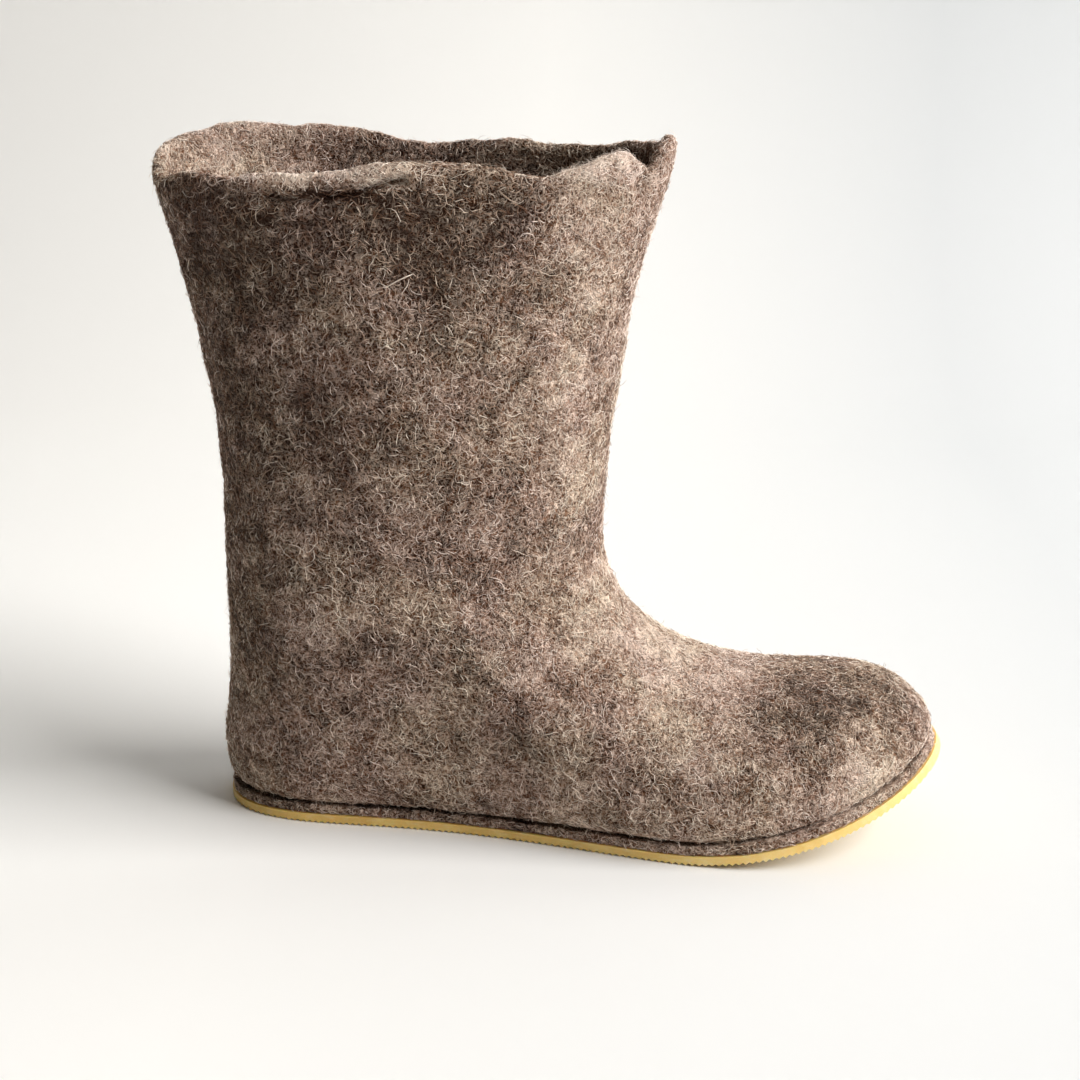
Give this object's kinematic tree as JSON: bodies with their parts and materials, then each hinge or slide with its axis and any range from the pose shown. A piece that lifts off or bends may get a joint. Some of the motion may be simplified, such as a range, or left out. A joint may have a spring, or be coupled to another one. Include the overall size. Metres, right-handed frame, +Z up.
{
  "type": "felt boot",
  "caption": "Right felted wool boot: seamless hollow upper with a tall shaft and uneven collar, felt midsole, thin rubber outsole with toe spring, loose felt insole.",
  "frame": {"origin": "on the floor, under the middle of the boot's bounding box", "axes": "+X from the heel towards the toe, +Y towards the medial side of the foot, +Z up out of the collar; the boot stands on z = 0"},
  "size_m": [0.2802, 0.1056, 0.2456],
  "materials": {
    "upper_felt": "thick mottled brown and beige wool felt with loose hairs",
    "midsole_felt": "dense grey-brown wool felt",
    "sole_rubber": "honey-yellow satin rubber",
    "insole_felt": "pale grey-brown wool felt"
  },
  "bodies": {
    "root": {"upper": "upper_felt", "midsole": "midsole_felt", "outsole": "sole_rubber", "insole": "insole_felt"}
  },
  "joints": []
}
